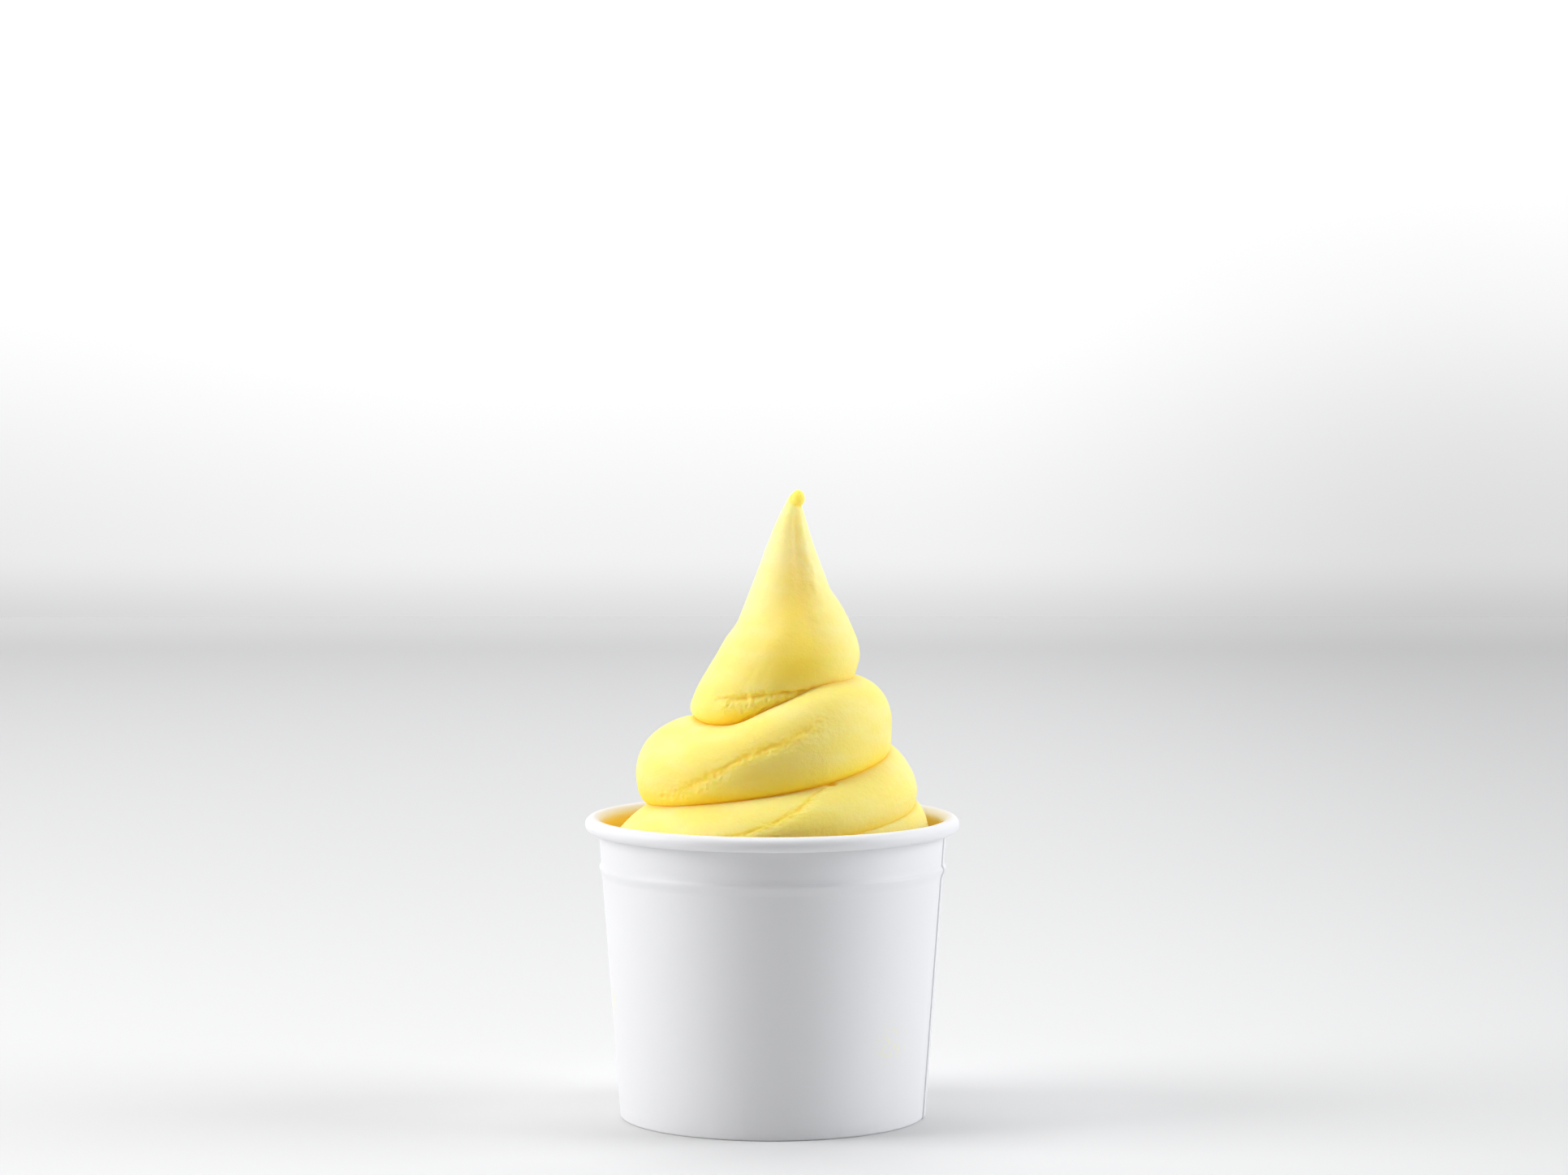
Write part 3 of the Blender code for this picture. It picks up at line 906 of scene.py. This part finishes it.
def draw_out_cone(bm, settings):
    """Brings the drawn-out tip to one even cone, then gives it its valley, ridge and grain."""
    points = np.array([vert.co for vert in bm.verts])
    height = points[:, 2]
    from_axis = points[:, :2] - np.stack((lean(height), np.zeros(len(height))), axis=1)
    radius = np.maximum(np.linalg.norm(from_axis, axis=1), 0.01 * MM)
    stations = np.array([row[1:3] for row in ROPE if row[0] >= 1.0]) * MM
    even = np.interp(height, stations[:, 1], stations[:, 0])
    share = fade(height, EVEN_FROM, EVEN_FULL) * (1.0 - fade(height, EVEN_FADES, EVEN_GONE))
    relief = settings.undulation * CONE_GRAIN * clouds(points + 0.3, CONE_LUMPS)
    relief = relief * fade(height, CONE_GRAIN_FROM, CONE_GRAIN_FULL)
    wanted = radius + (even - radius) * share + valley_relief(points) + relief * share
    for vert, offset, factor in zip(bm.verts, from_axis, wanted / radius - 1.0):
        if vert.co.z > CONE_FROM:
            vert.co.x += offset[0] * factor
            vert.co.y += offset[1] * factor


def refine_folds(bm, columns_from, columns_to):
    """Cuts the flat grid finer where a fold will be, and gives each point's turn and share."""
    def coordinates():
        flat = np.array([vert.co[:2] for vert in bm.verts])
        along = columns_from + (columns_to - columns_from) * (flat[:, 0] + 1.0) / 2.0
        return along, (flat[:, 1] + 1.0) / 2.0

    turns, share = coordinates()
    wanted = np.zeros(len(turns), dtype=bool)
    for fold in FOLDS:
        centre, first, last = route_share(fold, turns)
        along = (turns > first - FOLD_FADE) & (turns < last + FOLD_FADE)
        wanted |= along & (np.abs(share - centre) < FINE_REACH)
    wanted &= (share > 0.03) & (share < 0.97)
    edges = [edge for edge in bm.edges if all(wanted[vert.index] for vert in edge.verts)]
    bmesh.ops.subdivide_edges(bm, edges=edges, cuts=FINE_CUTS, use_grid_fill=True)
    bm.verts.index_update()
    return coordinates()


def crease_depth(turns):
    """How deep the crease under the rope is, from 0 where it is shallow to 1."""
    return np.clip((along_rope(turns, 3) - along_rope(turns, 1)) / DEEP_CREASE, SHALLOWEST_CREASE, 1.0)


def mark_creases(bm, turns, share):
    """Stores how deep in a crease each point of the flat sheet will be, also up its underside and along its
    folds, as the weight of its painted shade and painted glow.
    """
    layer = bm.verts.layers.float.new(CREASE)
    under = (1.0 - fade(share, 0.0, UNDER_TINT_REACH)) * crease_depth(turns)
    over = fade(share, OVER_TINT_FROM, 1.0) * OVER_TINT * crease_depth(turns + 1.0)
    deepest = np.maximum(under, over)
    for fold in FOLDS:
        centre, first, last = route_share(fold, turns)
        off = (share - centre) * SECTION / FOLD_TINT_WIDTH
        present = fade(turns, first, first + 4.0 * FOLD_FADE)
        present = present * (1.0 - fade(turns, last - 4.0 * FOLD_FADE, last))
        deepest = np.maximum(deepest, FOLD_TINT * np.exp(-off * off) * present)
    for vert, depth in zip(bm.verts, deepest):
        vert[layer] = float(depth)


def fade_creases_on_cone(bm):
    """Leaves the cone only the painted shade of its upright valley, on its front half, and gives the drop
    the same deep colour.
    """
    layer = bm.verts.layers.float[CREASE]
    points = np.array([vert.co for vert in bm.verts])
    x, y, height = points[:, 0] - lean(points[:, 2]), points[:, 1], points[:, 2]
    across = (np.arctan2(y, x) - math.radians(VALLEY_ANGLE - VALLEY_TINT_TURN)) * np.hypot(x, y)
    width = VALLEY_TINT_SPREAD * np.hypot(x, y)
    valley = VALLEY_TINT * np.exp(-((across / np.maximum(width, MM)) ** 2)) * (y < 0.0)
    gone = fade(height, VALLEY_TINT_FADES, VALLEY_TINT_GONE)
    valley *= fade(height, VALLEY_TINT_FROM, VALLEY_TINT_FULL) * (1.0 - gone)
    crease = np.array([vert[layer] for vert in bm.verts])
    crease = crease * (1.0 - fade(height, CREASES_FADE, CREASES_GONE))
    from_bead = np.linalg.norm(points - BEAD_CENTRE, axis=1)
    valley += VALLEY_TINT * (1.0 - fade(from_bead, BEAD_TINT_REACH, BEAD_TINT_GONE))
    for vert, depth in zip(bm.verts, np.maximum(crease, valley)):
        vert[layer] = float(depth)


def build_yogurt(settings, cup):
    """The swirl as one body: a sheet wrapped round and round, welded turn to turn, with its folds."""
    last = ROPE[-1][0]
    bm = bmesh.new()
    columns = round((last - FIRST_TURN) * STEPS_PER_TURN)
    bmesh.ops.create_grid(bm, x_segments=columns, y_segments=SECTION_STEPS, size=1.0)
    turns, share = refine_folds(bm, FIRST_TURN, last)
    mark_creases(bm, turns, share)
    points = raise_relief(turns, share, rope_surface(turns, share), settings)
    points = keep_off_wall(points, cup)
    for vert, point in zip(bm.verts, points):
        vert.co = point
    bmesh.ops.remove_doubles(bm, verts=bm.verts[:], dist=WELD)
    close_apex(bm)
    bmesh.ops.dissolve_degenerate(bm, edges=bm.edges[:], dist=WELD)
    fade_creases_on_cone(bm)
    soften_cone(bm)
    draw_out_cone(bm, settings)
    swell_bead(bm)
    close_below(bm, cup)
    return add_piece("yogurt_swirl", bm, yogurt_material(settings), "frozen_yogurt")


FLOOR_FAR = 1.45                   # how far behind the cup the floor ends, in metres
FLOOR_NEAR = -2.6
STAGE_HALF_WIDTH = 2.4
BACKDROP_HALF_HEIGHT = 1.4
BACKDROP_PLACE = (0.0, FLOOR_FAR + 0.6, 1.2)
CAMERA_PLACE = (2.67 * MM, -1153.4 * MM, 204.1 * MM)
CAMERA_PITCH = 4.153               # degrees below level


def build_floor(studio):
    bm = bmesh.new()
    bmesh.ops.create_grid(bm, x_segments=1, y_segments=1, size=1.0)
    middle = (FLOOR_FAR + FLOOR_NEAR) / 2
    size = Matrix.Diagonal((STAGE_HALF_WIDTH, (FLOOR_FAR - FLOOR_NEAR) / 2, 1.0, 1.0))
    bmesh.ops.transform(bm, matrix=Matrix.Translation((0.0, middle, 0.0)) @ size, verts=bm.verts[:])
    add_piece("studio_floor", bm, floor_material(studio.floor))


def build_backdrop():
    bm = bmesh.new()
    bmesh.ops.create_grid(bm, x_segments=1, y_segments=1, size=1.0)
    turned = Matrix.Rotation(math.radians(90.0), 4, "X")
    upright = turned @ Matrix.Diagonal((STAGE_HALF_WIDTH, BACKDROP_HALF_HEIGHT, 1.0, 1.0))
    bmesh.ops.transform(
        bm, matrix=Matrix.Translation(BACKDROP_PLACE) @ upright, verts=bm.verts[:]
    )
    add_piece("studio_backdrop", bm, backdrop_material())


def add_softbox(name, place, target, size, power, colour=(1.0, 1.0, 1.0)):
    lamp = bpy.data.lights.new(name, "AREA")
    lamp.shape = "RECTANGLE"
    lamp.size, lamp.size_y = size
    lamp.energy = power
    lamp.color = colour
    softbox = bpy.data.objects.new(name, lamp)
    softbox.location = place
    softbox.rotation_euler = (Vector(target) - Vector(place)).to_track_quat("-Z", "Y").to_euler()
    softbox.visible_camera = False
    bpy.context.scene.collection.objects.link(softbox)


def light_studio(studio):
    middle = (0.0, 0.0, 0.07)
    add_softbox("softbox_left", (-1.08, -0.14, 0.60), middle, (0.7, 1.0), studio.left)
    add_softbox("softbox_right", (1.12, -0.03, 0.52), middle, (0.7, 1.0), studio.right, (0.95, 0.97, 1.0))
    add_softbox("softbox_top", (-0.15, 0.08, 1.35), middle, (1.2, 1.0), studio.top)
    world = bpy.data.worlds.new("studio")
    world.use_nodes = True
    background = world.node_tree.nodes["Background"]
    background.inputs["Color"].default_value = (1.0, 1.0, 1.0, 1.0)
    background.inputs["Strength"].default_value = studio.world
    bpy.context.scene.world = world


def set_camera(studio):
    lens = bpy.data.cameras.new("camera")
    lens.sensor_width = 36.0
    lens.lens = studio.lens
    lens.clip_end = 20.0
    camera = bpy.data.objects.new("camera", lens)
    camera.location = CAMERA_PLACE
    camera.rotation_euler = (math.radians(90.0 - CAMERA_PITCH), 0.0, 0.0)
    bpy.context.scene.collection.objects.link(camera)
    bpy.context.scene.camera = camera


class DESSERT_OT_sidewall(bpy.types.Operator):
    """Wrap the cup's sidewall, with its rolled rim, raised ring and lapped seam"""

    bl_idname = "dessert.sidewall"
    bl_label = "Cup Sidewall"

    def execute(self, context):
        build_sidewall(context.scene.dessert_cup)
        return {"FINISHED"}


class DESSERT_OT_base(bpy.types.Operator):
    """Set the recessed base into the cup"""

    bl_idname = "dessert.base"
    bl_label = "Cup Base"

    def execute(self, context):
        build_base(context.scene.dessert_cup)
        return {"FINISHED"}


class DESSERT_OT_yogurt(bpy.types.Operator):
    """Pipe the frozen yogurt into the cup"""

    bl_idname = "dessert.yogurt"
    bl_label = "Frozen Yogurt"

    def execute(self, context):
        build_yogurt(context.scene.dessert_yogurt, context.scene.dessert_cup)
        return {"FINISHED"}


class DESSERT_OT_studio(bpy.types.Operator):
    """Lay the floor, hang the backdrop, and place the lights and the camera"""

    bl_idname = "dessert.studio"
    bl_label = "Studio"

    def execute(self, context):
        studio = context.scene.dessert_studio
        build_floor(studio)
        build_backdrop()
        light_studio(studio)
        set_camera(studio)
        context.scene.view_settings.view_transform = "Standard"
        return {"FINISHED"}


STEPS = (DESSERT_OT_sidewall, DESSERT_OT_base, DESSERT_OT_yogurt, DESSERT_OT_studio)


class DESSERT_PT_panel(bpy.types.Panel):
    """Sizes, colours and steps of the dessert"""

    bl_idname = "DESSERT_PT_panel"
    bl_label = "Frozen Yogurt Cup"
    bl_space_type = "VIEW_3D"
    bl_region_type = "UI"
    bl_category = "Dessert"

    def draw(self, context):
        scene = context.scene
        for settings in (scene.dessert_cup, scene.dessert_yogurt, scene.dessert_studio):
            box = self.layout.box()
            for name in settings.__annotations__:
                box.prop(settings, name)
        for step in STEPS:
            self.layout.operator(step.bl_idname)


GROUPS = {"dessert_cup": CupSettings, "dessert_yogurt": YogurtSettings, "dessert_studio": StudioSettings}


def register():
    for cls in (*GROUPS.values(), *STEPS, DESSERT_PT_panel):
        bpy.utils.register_class(cls)
    for name, group in GROUPS.items():
        setattr(bpy.types.Scene, name, PointerProperty(type=group))


def unregister():
    for name in GROUPS:
        delattr(bpy.types.Scene, name)
    for cls in reversed((*GROUPS.values(), *STEPS, DESSERT_PT_panel)):
        bpy.utils.unregister_class(cls)


def main():
    register()
    bpy.ops.dessert.sidewall()
    bpy.ops.dessert.base()
    bpy.ops.dessert.yogurt()
    bpy.ops.dessert.studio()


if __name__ == "__main__":
    main()
